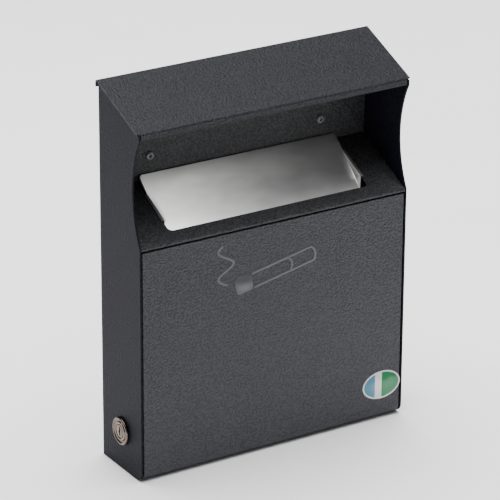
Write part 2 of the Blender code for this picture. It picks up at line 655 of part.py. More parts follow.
def make_marks(parts, mats):
    """A cigarette with smoke, and an oval label, as thin films on the door."""
    hi = FRONT_FACE - 0.00005
    lo = hi - 0.0003
    turn = math.radians(MARK_TILT)

    def slanted(outline):
        return [(MARK_X + x * math.cos(turn) - z * math.sin(turn),
                 MARK_Z + x * math.sin(turn) + z * math.cos(turn)) for x, z in outline]

    half, tall = MARK_LENGTH / 2, MARK_THICK / 2
    tube = rect(-half + 0.0170, -tall, half, tall)
    hollow = rect(-half + 0.0190, -tall + MARK_LINE, half - MARK_LINE, tall - MARK_LINE)
    prism("mark_tube", "Y", [slanted(tube), slanted(hollow)], lo, hi, parts,
          mats["print_grey"])
    ember = round_rect(-half, -tall, -half + 0.0165, tall, 0.0030)
    prism("mark_ember", "Y", [slanted(ember)], lo, hi, parts, mats["print_grey"])
    smoke = [(-0.0468, 0.1690), (-0.0620, 0.1700), (-0.0390, 0.1850), (-0.0600, 0.1960),
             (-0.0480, 0.2020)]
    prism("mark_smoke", "Y", [wavy(smoke, MARK_LINE)], lo, hi, parts, mats["print_grey"])
    oval = [(0.1120 + 0.0198 * math.cos(math.radians(a)),
             0.0330 + 0.0134 * math.sin(math.radians(a))) for a in range(0, 360, 6)]
    prism("oval_label", "Y", [oval], lo, hi, parts, mats["label_film"])


# ---- assembly -----------------------------------------------------------------------
def main():
    clear_scene()
    parts = new_collection(COLLECTION)
    cutters = new_collection("cutters")
    mats = {name: make_material(name) for name in COLOURS}

    make_shell(parts, cutters, mats)
    make_canopy(parts, cutters, mats)
    make_floor(parts, cutters, mats)
    make_ledge(parts, cutters, mats)
    make_stub_plate(parts, cutters, mats)
    make_rivet("rivet_left", -RIVET_X, parts, mats)
    make_rivet("rivet_right", RIVET_X, parts, mats)
    rod = SIDE_IN - 0.0005
    rod_mesh = [(-rod, 0.0), (-rod, ROD_RADIUS), (rod, ROD_RADIUS), (rod, 0.0)]
    revolve("hinge_rod", rod_mesh, (0, AXIS_Y, AXIS_Z), parts, mats["zinc"])
    for name, sx in (("left", -1), ("right", 1)):
        make_bracket("hinge_bracket_" + name, sx, parts, cutters, mats)
        make_clip("hinge_clip_" + name, sx, parts, mats)
        make_stop("door_stop_" + name, sx, parts, mats)
    make_collector(parts, cutters, mats)
    make_lock_housing(parts, cutters, mats)
    make_lock_nut(parts, mats)
    make_rotor(parts, cutters, mats)
    make_door(parts, cutters, mats)
    make_keeper(parts, mats)
    make_marks(parts, mats)

    origin = (0.0, BACK_FACE, ORIGIN_HEIGHT)
    for obj in list(parts.objects) + list(cutters.objects):
        if obj.parent is None:
            obj.location = [a - b for a, b in zip(obj.location, origin)]
    bpy.context.view_layer.update()


main()
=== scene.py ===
# %% [markdown]
# # A wall-mounted ashtray bin in folded sheet steel
#
# The bin is a shallow box of powder-coated sheet with a sloping roof.  Under the roof a
# stainless stub-out plate dips towards a slot, and cigarette ends drop through it into a
# collector behind the front door.  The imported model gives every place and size; this
# script adds the folds, soft edges, finishes and light that make it look real.

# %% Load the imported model
import json
import math

import bmesh
import bpy
import numpy as np
from mathutils import Matrix, Vector

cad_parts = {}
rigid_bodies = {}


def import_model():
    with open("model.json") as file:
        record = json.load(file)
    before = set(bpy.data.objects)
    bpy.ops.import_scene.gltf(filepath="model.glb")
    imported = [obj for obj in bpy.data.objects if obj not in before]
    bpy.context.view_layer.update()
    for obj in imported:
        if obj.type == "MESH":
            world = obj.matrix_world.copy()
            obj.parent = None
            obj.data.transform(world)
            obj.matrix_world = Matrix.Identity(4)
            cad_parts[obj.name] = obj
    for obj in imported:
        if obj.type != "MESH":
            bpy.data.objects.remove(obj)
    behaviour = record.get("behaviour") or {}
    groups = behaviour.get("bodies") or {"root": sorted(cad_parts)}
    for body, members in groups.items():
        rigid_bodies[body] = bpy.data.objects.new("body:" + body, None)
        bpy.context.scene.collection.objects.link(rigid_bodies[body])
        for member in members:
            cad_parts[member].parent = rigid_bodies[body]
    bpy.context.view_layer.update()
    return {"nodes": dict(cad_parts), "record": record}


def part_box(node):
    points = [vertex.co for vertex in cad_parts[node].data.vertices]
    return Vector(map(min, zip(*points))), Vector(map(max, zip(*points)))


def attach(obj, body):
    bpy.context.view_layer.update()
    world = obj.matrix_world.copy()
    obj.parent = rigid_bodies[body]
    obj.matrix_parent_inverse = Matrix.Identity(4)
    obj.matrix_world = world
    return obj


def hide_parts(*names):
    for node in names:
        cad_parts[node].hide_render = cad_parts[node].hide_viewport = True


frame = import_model()

# %% [markdown]
# A sheet-metal worker measures from the front face and from the bottom edge, so the same
# is done here: y counts from the front face towards the wall and z from the bottom edge.
# Only the last step of each piece turns those into the model's own places.

# %% Where things are
FRONT = float(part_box("door")[0][1])
BOTTOM = float(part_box("shell")[0][2])
SIDE_OUT = float(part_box("shell")[1][0])
ROOF_HALF = float(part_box("canopy")[1][0])
DOOR_HALF = float(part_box("door")[1][0])
WALL = float(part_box("canopy")[1][1]) - FRONT
PAD_STAND = 0.0018              # the raised pads hold the back panel off the wall
BACK = WALL - PAD_STAND         # wall face of the back panel
SHEET = 0.0015                  # gauge of the housing, roof and door
INNER = 0.0012                  # gauge of the ledge insert
SIDE_IN = SIDE_OUT - SHEET
GAP = 0.0003                    # play between sheets that lie against each other


def place(points):
    """Shop measures (x, y from the front face, z from the bottom edge) to the model."""
    return np.asarray(points, float) + np.array([0.0, FRONT, BOTTOM])


print("front %.4f bottom %.4f wall depth %.4f m" % (FRONT, BOTTOM, WALL))


# %% [markdown]
# ## Sheets as folded lines
# A folded sheet is one line seen from the side, drawn out to the sheet's width.  The line
# is straight between bends and a circular arc in each bend.  Working it out as points
# with numpy keeps the bends smooth at any size, which a bevelled box would not.

# %% Folding a line
def folded(points, radii, steps=10, spacing=0.004):
    """A line through points whose inner corners are arcs of the given radii.
    Each arc is centre + r (cos a, sin a) between its two tangent points; each straight
    stretch is cut into equal pieces about `spacing` long."""
    points = [np.array(p, float) for p in points]
    knots = [points[0]]
    arcs = []
    for before, corner, after, r in zip(points, points[1:], points[2:], radii):
        a = (before - corner) / np.linalg.norm(before - corner)
        b = (after - corner) / np.linalg.norm(after - corner)
        half = math.acos(np.clip(a @ b, -1, 1)) / 2
        centre = corner + (a + b) / np.linalg.norm(a + b) * r / math.sin(half)
        start, end = corner + a * r / math.tan(half), corner + b * r / math.tan(half)
        a0 = math.atan2(*(start - centre)[::-1])
        turn = (math.atan2(*(end - centre)[::-1]) - a0 + math.pi) % (2 * math.pi) - math.pi
        angles = a0 + turn * np.linspace(0, 1, steps + 1)
        arcs.append(centre + r * np.stack([np.cos(angles), np.sin(angles)], axis=1))
    line = []
    here = knots[0]
    for bend in arcs + [np.array([points[-1]])]:
        count = max(1, int(round(np.linalg.norm(bend[0] - here) / spacing)))
        line.append(here + (bend[0] - here) * np.linspace(0, 1, count + 1)[:-1, None])
        line.append(bend[:-1] if len(bend) > 1 else bend)
        here = bend[-1]
    return np.concatenate(line)


def spread(lo, hi, spacing, edge=0.0):
    """Numbers from lo to hi about `spacing` apart, with one more close to each end."""
    inner = np.linspace(lo + edge, hi - edge, max(2, int(round((hi - lo) / spacing)) + 1))
    return np.concatenate([[lo], inner, [hi]]) if edge else inner


corner = folded([(0, 0), (0, 1), (1, 1)], [0.1], spacing=0.2)
print("a folded line of", len(corner), "points")


# %% [markdown]
# ## From numbers to a mesh
# A grid of points becomes a mesh with `from_pydata`: each cell between four neighbours is
# a face, and the corner numbers of all cells are worked out at once as whole arrays.

# %% Grids
def mesh_from(name, points, faces):
    """A mesh with the given points and faces, checked for faults."""
    mesh = bpy.data.meshes.new(name)
    mesh.from_pydata(points.reshape(-1, 3), [], faces.tolist())
    mesh.validate()
    mesh.update()
    return mesh


def grid_faces(rows, cols, wrap=False):
    """Corner numbers of every cell of a rows x cols grid; wrap joins the last column to
    the first."""
    r = np.arange(rows - 1)[:, None]
    c = np.arange(cols if wrap else cols - 1)[None, :]
    d = (c + 1) % cols
    return np.stack([r * cols + c, r * cols + d, (r + 1) * cols + d, (r + 1) * cols + c],
                    axis=-1).reshape(-1, 4)


print("a 3 x 4 grid has", len(grid_faces(3, 4)), "faces")


# %% [markdown]
# A finished piece has to know three things: which moving body it rides on, which material
# slot it fills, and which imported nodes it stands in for.  One function says all three, so
# that no piece is left behind when the door swings.

# %% Adding a piece
def add(name, mesh, body, material, nodes=()):
    """Puts a finished mesh in the scene, on its body, in place of its model nodes."""
    piece = bpy.data.objects.new(name, mesh)
    bpy.context.scene.collection.objects.link(piece)
    mesh.materials.clear()
    mesh.materials.append(material)
    mesh.shade_smooth()
    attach(piece, body)
    if nodes:
        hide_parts(*nodes)
    return piece


# %% [markdown]
# ## Gauge, cuts and edges
# A shape is first made as the thin middle surface of its sheet.  Solidify gives it the
# gauge, a Boolean punches the holes, and a small Bevel rolls the cut edges, because a real
# edge is never perfectly sharp and catches a thin line of light.

# %% Working a sheet
def modified(mesh, *steps):
    """The mesh after a few modifiers, each given as (type, settings)."""
    temp = bpy.data.objects.new("temp", mesh)
    bpy.context.scene.collection.objects.link(temp)
    for kind, settings in steps:
        mod = temp.modifiers.new(kind.lower(), kind)
        for key, value in settings.items():
            setattr(mod, key, value)
    graph = bpy.context.evaluated_depsgraph_get()
    result = bpy.data.meshes.new_from_object(temp.evaluated_get(graph))
    bpy.data.objects.remove(temp, do_unlink=True)
    result.name = mesh.name
    return result


def outward(mesh, weld=0.0):
    """Joins points closer than weld, then turns every face to the outside."""
    bm = bmesh.new()
    bm.from_mesh(mesh)
    if weld:
        bmesh.ops.remove_doubles(bm, verts=bm.verts, dist=weld)
    bmesh.ops.recalc_face_normals(bm, faces=bm.faces)
    bm.to_mesh(mesh)
    bm.free()


def cut(mesh, cutters):
    """The mesh less each of the cutters, which are used up."""
    for cutter in cutters:
        mesh = modified(mesh, ("BOOLEAN", dict(object=cutter, operation="DIFFERENCE",
                                               solver="EXACT")))
        bpy.data.objects.remove(cutter, do_unlink=True)
    return mesh


def sheet(mesh, gauge, cutters=(), edge=0.0004):
    """Gives a middle surface its gauge, cuts it, and rolls its cut edges."""
    solid = cut(modified(mesh, ("SOLIDIFY", dict(thickness=gauge, offset=0.0,
                                                 use_even_offset=True))), cutters)
    outward(solid)
    return rolled(solid, edge)


def rolled(mesh, edge, segments=3, angle=38):
    """Rounds every edge that turns by more than angle degrees to the radius edge."""
    mesh.shade_smooth()
    return modified(mesh, ("BEVEL", dict(width=edge, segments=segments,
                                         limit_method="ANGLE", harden_normals=True,
                                         angle_limit=math.radians(angle))))


print("sheets are %.1f and %.1f mm" % (SHEET * 1000, INNER * 1000))


# %% [markdown]
# ## Punches and outlines
# A press cuts a hole with a punch of the hole's own outline.  Here the punch is a prism:
# an outline drawn out along one axis, far enough to pass right through the sheet.

# %% Punches
def plug_cutter(name, outline, axis, lo, hi):
    """A prism to cut with: the outline, drawn out along axis from lo to hi."""
    outline = np.asarray(outline, float)
    ends = []
    for along in (lo, hi):
        column = np.full((len(outline), 1), along)
        order = {"x": [column, outline[:, :1], outline[:, 1:]],
                 "y": [outline[:, :1], column, outline[:, 1:]],
                 "z": [outline[:, :1], outline[:, 1:], column]}[axis]
        ends.append(np.concatenate(order, axis=1))
    n = len(outline)
    points = place(np.concatenate(ends))
    faces = [list(range(n)), list(range(2 * n - 1, n - 1, -1))]
    faces += grid_faces(2, n, wrap=True).tolist()
    mesh = bpy.data.meshes.new(name)
    mesh.from_pydata(points, [], faces)
    outward(mesh)
    cutter = bpy.data.objects.new(name, mesh)
    bpy.context.scene.collection.objects.link(cutter)
    return cutter


def circle(cx, cy, r, n=48):
    """Centre + r (cos a, sin a) for n even steps of a."""
    a = np.arange(n) * 2 * math.pi / n
    return np.stack([cx + r * np.cos(a), cy + r * np.sin(a)], axis=1)


def round_rect(x0, y0, x1, y1, r, n=8):
    """Quarter circles of radius r at the four corners."""
    corners = [(x1 - r, y0 + r, -90), (x1 - r, y1 - r, 0), (x0 + r, y1 - r, 90),
               (x0 + r, y0 + r, 180)]
    a = np.radians(np.linspace(0, 90, n + 1))
    return np.concatenate([np.stack([cx + r * np.cos(a + math.radians(t)),
                                     cy + r * np.sin(a + math.radians(t))], axis=1)
                           for cx, cy, t in corners])


print("a round punch has", len(circle(0, 0, 1)), "sides")


# %% [markdown]
# Rivets and locks come off a lathe, so they are made like that: half a cross-section is
# swept round an axis.  Points that meet on the axis are welded, which closes the poles.

# %% Turning
WELD = 1e-6


def turned(name, profile, centre, axis, n=96):
    """Surface of revolution: each (along, radius) of the profile goes round the axis, as
    centre + along * axis + radius * (cos a * u + sin a * v)."""
    axis = np.array(axis, float)
    u = np.array([0.0, 0.0, 1.0])
    v = np.cross(axis, u)
    a = np.arange(n) * 2 * math.pi / n
    along, radius = np.array(profile, float).T
    points = (np.array(centre) + along[:, None, None] * axis
              + radius[:, None, None] * (np.cos(a)[None, :, None] * u
                                         + np.sin(a)[None, :, None] * v))
    mesh = mesh_from(name, place(points), grid_faces(len(profile), n, wrap=True))
    outward(mesh, WELD)
    return mesh


print("points closer than %.3f mm are welded" % (WELD * 1000))


# %% [markdown]
# ## Finishes
# Every finish is one Principled shader moved a little by noise in Object coordinates, so
# the grain is as large as on the real surface and stays put when a piece moves.  These
# helpers each add one node: a noise, a range for a number, a pair of colours, a bump.

# %% Helpers for finishes
def ranged(nodes, links, factor, low, high):
    """A factor from 0 to 1 stretched to run from low to high."""
    ramp = nodes.new("ShaderNodeMapRange")
    ramp.inputs["To Min"].default_value = low
    ramp.inputs["To Max"].default_value = high
    links.new(factor, ramp.inputs["Value"])
    return ramp.outputs["Result"]


def new_material(name, metallic=0.0, roughness=0.5):
    """A new material, and what is needed to add to it."""
    material = bpy.data.materials.new(name)
    material.use_nodes = True
    nodes, links = material.node_tree.nodes, material.node_tree.links
    shader = nodes["Principled BSDF"]
    shader.inputs["Metallic"].default_value = metallic
    shader.inputs["Roughness"].default_value = roughness
    coords = nodes.new("ShaderNodeTexCoord").outputs["Object"]
    return material, nodes, links, shader, coords


def noise(nodes, links, coords, scale, detail=2.0, rough=0.5, stretch=None):
    """Noise whose grains are about 1 / scale metres, longer along a stretched axis."""
    if stretch:
        mapping = nodes.new("ShaderNodeMapping")
        mapping.inputs["Scale"].default_value = stretch
        links.new(coords, mapping.inputs["Vector"])
        coords = mapping.outputs["Vector"]
    pattern = nodes.new("ShaderNodeTexNoise")
    pattern.inputs["Scale"].default_value = scale
    pattern.inputs["Detail"].default_value = detail
    pattern.inputs["Roughness"].default_value = rough
    links.new(coords, pattern.inputs["Vector"])
    return pattern.outputs["Fac"]


def colour_between(nodes, links, factor, dark, light, low=0.3, high=0.7):
    """Dark where the factor is below low, light above high, and blended between."""
    ramp = nodes.new("ShaderNodeValToRGB")
    ramp.color_ramp.elements[0].position = low
    ramp.color_ramp.elements[1].position = high
    ramp.color_ramp.elements[0].color = (*dark, 1.0)
    ramp.color_ramp.elements[1].color = (*light, 1.0)
    links.new(factor, ramp.inputs["Fac"])
    return ramp.outputs["Color"]


def bump(nodes, links, shader, height, distance, under=None):
    """Relief of the given distance in metres, on top of the relief under it."""
    node = nodes.new("ShaderNodeBump")
    node.inputs["Strength"].default_value = 1.0
    node.inputs["Distance"].default_value = distance
    links.new(height, node.inputs["Height"])
    if under is not None:
        links.new(under, node.inputs["Normal"])
    links.new(node.outputs["Normal"], shader.inputs["Normal"])
    return node.outputs["Normal"]


print("noise grains are given as how many fit in a metre")


# %% [markdown]
# The coat is a fine-textured anthracite powder coat: baked powder flows into a pebbled
# skin, like orange peel.  One noise gives pebbles almost 2 mm across and another the grit
# of half a millimetre; both are bump, and the pebbles also move the roughness and the
# colour.  A third noise, as broad as a hand, keeps large faces from looking too even.
# Each sheet has its own strength of pebble, because the same relief looks much rougher on
# a face that the light only grazes.  The four coats are one paint.  Each sheet also has its
# own tint and gloss as painted light and shade: the side panels are painted much darker and
# the roof a little darker than the door, and the insert a little lighter.

# %% Powder coat
PEBBLE_SCALE, GRIT_SCALE, BROAD_SCALE = 560, 1900, 14
GRIT_SHARE = 0.25


def powder_coat(name, tint, pebble, contrast, roughness=(0.36, 0.56), sheen=0.5):
    """Pebbled paint: pebble is the relief in metres, contrast the share by which the
    colour moves either way, sheen the strength of the gloss."""
    material, nodes, links, shader, coords = new_material(name)
    shader.inputs["Specular IOR Level"].default_value = sheen
    pebbles = noise(nodes, links, coords, PEBBLE_SCALE, 1.5, 0.5)
    grit = noise(nodes, links, coords, GRIT_SCALE, 1.0, 0.5)
    broad = noise(nodes, links, coords, BROAD_SCALE, 3.0, 0.5)
    dark = [c * (1 - contrast) for c in tint]
    light = [c * (1 + contrast) for c in tint]
    mixed = nodes.new("ShaderNodeMix")
    mixed.data_type = "RGBA"
    mixed.blend_type = "MULTIPLY"
    mixed.inputs["Factor"].default_value = 1.0
    links.new(colour_between(nodes, links, pebbles, dark, light, 0.38, 0.62),
              mixed.inputs["A"])
    links.new(colour_between(nodes, links, broad, (0.95,) * 3, (1.05,) * 3),
              mixed.inputs["B"])
    links.new(mixed.outputs["Result"], shader.inputs["Base Color"])
    links.new(ranged(nodes, links, pebbles, *roughness), shader.inputs["Roughness"])
    first = bump(nodes, links, shader, grit, pebble * GRIT_SHARE)
    bump(nodes, links, shader, pebbles, pebble, under=first)
    shader.inputs["IOR"].default_value = 1.5
    return material


# One paint in four copies: the tints and gloss below are painted shade on the roof and
# sides and painted light on the insert, for how the lamps fall on each sheet.
COAT = powder_coat("powder_coat", (0.0215, 0.0225, 0.0275), 0.00120, 0.62, (0.32, 0.56),
                   sheen=0.36)
COAT_ROOF_SHADED = powder_coat("powder_coat_roof", (0.018, 0.0185, 0.0225), 0.00080, 0.50,
                        sheen=0.24)
COAT_SIDE_SHADED = powder_coat("powder_coat_shell", (0.0095, 0.0095, 0.0155), 0.00040, 0.4,
                        sheen=0.06)
COAT_INSERT_LIFTED = powder_coat("powder_coat_insert", (0.024, 0.0245, 0.0265), 0.00080, 0.6,
                          sheen=0.3)
print("coats:", COAT.name, COAT_ROOF_SHADED.name, COAT_SIDE_SHADED.name, COAT_INSERT_LIFTED.name)


# %% [markdown]
# The plate is stainless sheet with a fine brushed grain across the bin.  Brushing is a
# noise stretched ninetyfold along the grain; a slower noise stands for the faint smears
# that wiping leaves.  Lock, screws and collector are plated: a cell pattern gives each
# crystal of the plating its own tone and gloss.

# %% Metals
BRUSH_SCALE, BRUSH_STRETCH = 22, (1.0, 90.0, 90.0)
SMEAR_SCALE, SMEAR_STRETCH = 35, (1.0, 2.0, 2.0)
LINE_SHARE = 0.6
PLATING_RELIEF = 0.00002


def brushed(name, tint, roughness, grain):
    """Brushed sheet: grain is the depth of the brushed lines in metres."""
    material, nodes, links, shader, coords = new_material(name, metallic=1.0)
    lines = noise(nodes, links, coords, BRUSH_SCALE, 3.0, 0.6, BRUSH_STRETCH)
    smears = noise(nodes, links, coords, SMEAR_SCALE, 3.0, 0.55, SMEAR_STRETCH)
    dark, light = [c * 0.9 for c in tint], [min(1.0, c * 1.06) for c in tint]
    links.new(colour_between(nodes, links, smears, dark, light),
              shader.inputs["Base Color"])
    blend = nodes.new("ShaderNodeMath")
    blend.operation = "MULTIPLY_ADD"
    links.new(lines, blend.inputs[0])
    blend.inputs[1].default_value = LINE_SHARE
    links.new(smears, blend.inputs[2])
    links.new(ranged(nodes, links, blend.outputs["Value"], *roughness),
              shader.inputs["Roughness"])
    bump(nodes, links, shader, lines, grain)
    return material


def plated(name, tint, roughness, scale, flake=0.0):
    """Zinc, nickel or galvanised: patchy crystals as cells plus a fine noise."""
    material, nodes, links, shader, coords = new_material(name, metallic=1.0)
    cells = nodes.new("ShaderNodeTexVoronoi")
    cells.inputs["Scale"].default_value = scale
    links.new(coords, cells.inputs["Vector"])
    fine = noise(nodes, links, coords, 900, 2.0)
    separate = nodes.new("ShaderNodeSeparateColor")
    links.new(cells.outputs["Color"], separate.inputs["Color"])
    dark, light = [c * (0.93 - flake) for c in tint], [c * 1.04 for c in tint]
    links.new(colour_between(nodes, links, separate.outputs["Red"], dark, light, 0, 1),
              shader.inputs["Base Color"])
    links.new(ranged(nodes, links, separate.outputs["Green"], *roughness),
              shader.inputs["Roughness"])
    bump(nodes, links, shader, fine, PLATING_RELIEF)
    return material


STAINLESS = brushed("stainless", (0.50, 0.50, 0.49), (0.375, 0.425), 0.000006)
NICKEL = plated("lock_nickel", (0.145, 0.112, 0.094), (0.14, 0.26), scale=700)
ZINC = plated("zinc", (0.62, 0.63, 0.63), (0.28, 0.42), scale=420)
GALVANISED = plated("galvanised", (0.52, 0.53, 0.54), (0.3, 0.5), scale=190, flake=0.08)
RIVET = powder_coat("rivet_paint", (0.085, 0.087, 0.094), 0.00004, 0.08, (0.22, 0.34))
print("metals:", STAINLESS.name, NICKEL.name, ZINC.name, GALVANISED.name)


# %% [markdown]
# Printed marks and the label are thin films: nearly flat colours, but with the slight
# mottle of screen ink and a soft satin surface.

# %% Films
INK_RELIEF = 0.00003


def film(name, tint, roughness=(0.38, 0.5), mottle=0.05):
    """A thin film: mottle is the share by which its colour moves either way."""
    material, nodes, links, shader, coords = new_material(name)
    ink = noise(nodes, links, coords, 900, 3.0, 0.6)
    dark, light = [c * (1 - mottle) for c in tint], [c * (1 + mottle) for c in tint]
    links.new(colour_between(nodes, links, ink, dark, light), shader.inputs["Base Color"])
    links.new(ranged(nodes, links, ink, *roughness), shader.inputs["Roughness"])
    bump(nodes, links, shader, ink, INK_RELIEF)
    return material


PRINT = film("print_grey", (0.070, 0.072, 0.078), mottle=0.12)
LABEL_WHITE = film("label_film", (0.72, 0.73, 0.72), (0.3, 0.4))
LABEL_GREEN = film("label_green", (0.020, 0.20, 0.075), (0.3, 0.4))
LABEL_BLUE = film("label_blue", (0.085, 0.24, 0.34), (0.3, 0.4))
print("films:", PRINT.name, LABEL_WHITE.name)

# %% [markdown]
# ## The roof
# One sheet: a short lip folded down behind, the slope, and a lip folded down in front.
# The front lip stops short of each end, where the side panels come up flush.  The half
# width is therefore a function of how far along the fold a point lies.

# %% Roof
ROOF_BACK_Z = 0.3462
ROOF_DROP = 0.0286
ROOF_LIP_FRONT = 0.0056
ROOF_LIP_REAR = 0.0072
ROOF_RELIEF = 0.0035            # how far the front lip stops short of each end
ROOF_BEND = 0.0016
ROOF_SAG = 0.00025              # a wide thin sheet dips a little in its middle


def roof_z(y):
    """Top of the roof: a straight fall from the wall to the front."""
    return ROOF_BACK_Z - ROOF_DROP * (WALL - y) / WALL


def make_roof():
    """The folded line times a run of places across; the middle sags as a half wave along
    the slope times one less the square of the place across."""
    half = SHEET / 2
    fall = half * math.hypot(1, ROOF_DROP / WALL)
    front, rear = half, WALL - half
    line = folded([(front, roof_z(0) - ROOF_LIP_FRONT), (front, roof_z(front) - fall),
                   (rear, roof_z(rear) - fall), (rear, roof_z(WALL) - ROOF_LIP_REAR)],
                  [ROOF_BEND, ROOF_BEND], spacing=0.0025)
    across = spread(-1, 1, 0.02, edge=0.004)
    on_lip = (line[:, 0] < front + ROOF_BEND * 0.45) & (line[:, 1] < roof_z(front) - fall)
    wide = np.where(on_lip, ROOF_HALF - ROOF_RELIEF, ROOF_HALF)
    bow = ROOF_SAG * np.sin(np.pi * np.clip(line[:, 0] / WALL, 0, 1))
    x = across[None, :] * wide[:, None]
    y = np.repeat(line[:, :1], len(across), axis=1)
    z = line[:, 1:] - bow[:, None] * (1 - across[None, :] ** 2)
    mesh = mesh_from("roof", place(np.stack([x, y, z], axis=-1)),
                     grid_faces(len(line), len(across)))
    return sheet(mesh, SHEET, edge=0.00045)


roof = add("roof_sheet", make_roof(), "housing", COAT_ROOF_SHADED, ["canopy"])
print("roof faces:", len(roof.data.polygons))

# %% [markdown]
# ## The housing
# Back and sides are one sheet folded twice.  Row by row from the bottom edge to the top,
# the sheet runs from the left front edge round the back to the right front edge, so the
# scooped front edge, the rounded foot and the sloping top are all one function: how far
# back the front edge lies at a given height.

# %% Housing
SCOOP_TOP, SCOOP_BOTTOM, SCOOP_DEPTH = 0.3115, 0.2160, 0.0115
FOOT = 0.009
SHELL_BEND = 0.0016
ROOF_UNDER = SHEET * math.hypot(1, ROOF_DROP / WALL) + GAP
PAD_PLACES = [(sx * 0.095, z) for z in (0.060, 0.170) for sx in (-1, 1)]
PAD_FLAT, PAD_SLOPE = 0.0080, 0.004     # radius of a pad's flat, width of its rim
RIVET_PLACES = [(-0.086, 0.2690), (0.086, 0.2690)]
LOCK_AT = (0.033, 0.0361)
SCREW_HOLE, RIVET_HOLE, LOCK_HOLE = 0.0035, 0.0021, 0.0097      # radii
REACH = 0.01                    # how far a punch stands out on either side


def front_edge(z):
    """Depth of the side panels' front edge at height z: an arc in the scoop, a quarter
    circle at the foot, the roof line above, and the front face elsewhere."""
    rise = (SCOOP_TOP - SCOOP_BOTTOM) / 2
    radius = (rise ** 2 + SCOOP_DEPTH ** 2) / (2 * SCOOP_DEPTH)
    off = z - (SCOOP_TOP + SCOOP_BOTTOM) / 2
    scoop = SCOOP_DEPTH - radius + np.sqrt(np.maximum(radius ** 2 - off ** 2, 0))
    foot = FOOT - np.sqrt(np.maximum(FOOT ** 2 - (FOOT - np.minimum(z, FOOT)) ** 2, 0))
    roof_line = WALL - (ROOF_BACK_Z - ROOF_UNDER - z) * WALL / ROOF_DROP
    return np.maximum.reduce([scoop, foot, roof_line, np.zeros_like(z)])


def shell_rows():
    """Heights of the rows: quarter-circle steps in the foot, even steps above, and a row
    at each place where the front edge changes its course."""
    top_front = roof_z(0) - ROOF_UNDER
    top_back = roof_z(BACK - 0.003) - ROOF_UNDER
    foot = FOOT * (1 - np.cos(np.linspace(0, math.pi / 2, 12)))
    return np.concatenate([foot, spread(FOOT + 0.003, SCOOP_BOTTOM, 0.003)[:-1],
                           spread(SCOOP_BOTTOM, SCOOP_TOP, 0.003)[:-1],
                           spread(SCOOP_TOP, top_front, 0.003)[:-1],
                           spread(top_front, top_back, 0.002)])


def make_shell():
    """Each row runs left side, quarter-circle bend, back, bend, right side.  Near a pad
    the back is pushed out to the wall, and the push fades over the pad's rim."""
    z = shell_rows()
    inset = SHEET / 2
    side, back = SIDE_OUT - inset, BACK - inset
    u = np.linspace(0, 1, 20)
    turn = np.linspace(0, math.pi / 2, 7)[1:-1]
    bend_x = side - SHELL_BEND * (1 - np.cos(turn))
    bend_y = back - SHELL_BEND * (1 - np.sin(turn))
    flat = spread(-(side - SHELL_BEND), side - SHELL_BEND, 0.003)
    edge = front_edge(z)[:, None]
    left_y = edge + (back - SHELL_BEND - edge) * u[None, :]
    ones = np.ones((len(z), 1))
    x = np.concatenate([-side * np.ones_like(left_y), -ones * bend_x, ones * flat,
                        ones * bend_x[::-1], side * np.ones_like(left_y)], axis=1)
    y = np.concatenate([left_y, ones * bend_y, back * np.ones((len(z), len(flat))),
                        ones * bend_y[::-1], left_y[:, ::-1]], axis=1)
    deep = y > back - 1e-6
    for px, pz in PAD_PLACES:
        away = np.hypot(x - px, z[:, None] - pz)
        y = y + deep * PAD_STAND * (1 - np.clip((away - PAD_FLAT) / PAD_SLOPE, 0, 1))
    grid = np.stack([x, y, np.repeat(z[:, None], x.shape[1], axis=1)], axis=-1)
    mesh = mesh_from("shell", place(grid), grid_faces(*x.shape))
    holes = [plug_cutter("hole", circle(px, pz, r), "y", BACK - REACH, BACK + REACH)
             for places, r in ((PAD_PLACES, SCREW_HOLE), (RIVET_PLACES, RIVET_HOLE))
             for px, pz in places]
    holes.append(plug_cutter("lock_hole", circle(*LOCK_AT, LOCK_HOLE), "x",
                             -SIDE_OUT - REACH, -SIDE_OUT + REACH))
    return sheet(mesh, SHEET, holes, edge=0.0004)


shell = add("housing_sheet", make_shell(), "housing", COAT_SIDE_SHADED, ["shell"])
print("housing faces:", len(shell.data.polygons))

# %% [markdown]
# ## The ledge insert
# A second folded sheet closes the front part off: a rear flange that two rivets hold, a
# slope that leads rain and ash forwards, and a short lip over the door.  The slot is cut
# through the slope with a rounded-corner prism, as a press would.

# %% Ledge
LEDGE_FRONT_Z, LEDGE_SLOPE, LEDGE_LIP = 0.2163, 0.490, 0.0026
SLOT = (-0.0990, 0.0110, 0.1010, 0.0555)
SLOT_CORNER = 0.0045
LEDGE_TOP_Z = 0.334
LEDGE_BENDS = [0.0012, 0.0014]
LEDGE_BACK = BACK - SHEET - GAP - INNER / 2


def ledge_z(y):
    """Top of the ledge: a straight rise from the door to the rear flange."""
    return LEDGE_FRONT_Z + LEDGE_SLOPE * y


def make_ledge():
    """The folded line, lip to slope to flange, times a run of places across."""
    fall = INNER / 2 * math.hypot(1, LEDGE_SLOPE)
    front = INNER / 2
    line = folded([(front, LEDGE_FRONT_Z - LEDGE_LIP), (front, ledge_z(front) - fall),
                   (LEDGE_BACK, ledge_z(LEDGE_BACK) - fall), (LEDGE_BACK, LEDGE_TOP_Z)],
                  LEDGE_BENDS)
    half = SIDE_IN - GAP
    across = spread(-half, half, 0.006)
    shape = (len(line), len(across))
    grid = np.stack([np.broadcast_to(across, shape),
                     np.broadcast_to(line[:, :1], shape),
                     np.broadcast_to(line[:, 1:], shape)], axis=-1)
    mesh = mesh_from("ledge", place(grid), grid_faces(*shape))
    x0, y0, x1, y1 = SLOT
    cuts = [plug_cutter("slot", round_rect(x0, y0, x1, y1, SLOT_CORNER), "z", 0.19, 0.27)]
    cuts += [plug_cutter("rivet_hole", circle(px, pz, RIVET_HOLE), "y", 0.04, BACK)
             for px, pz in RIVET_PLACES]
    return sheet(mesh, INNER, cuts, edge=0.00035)


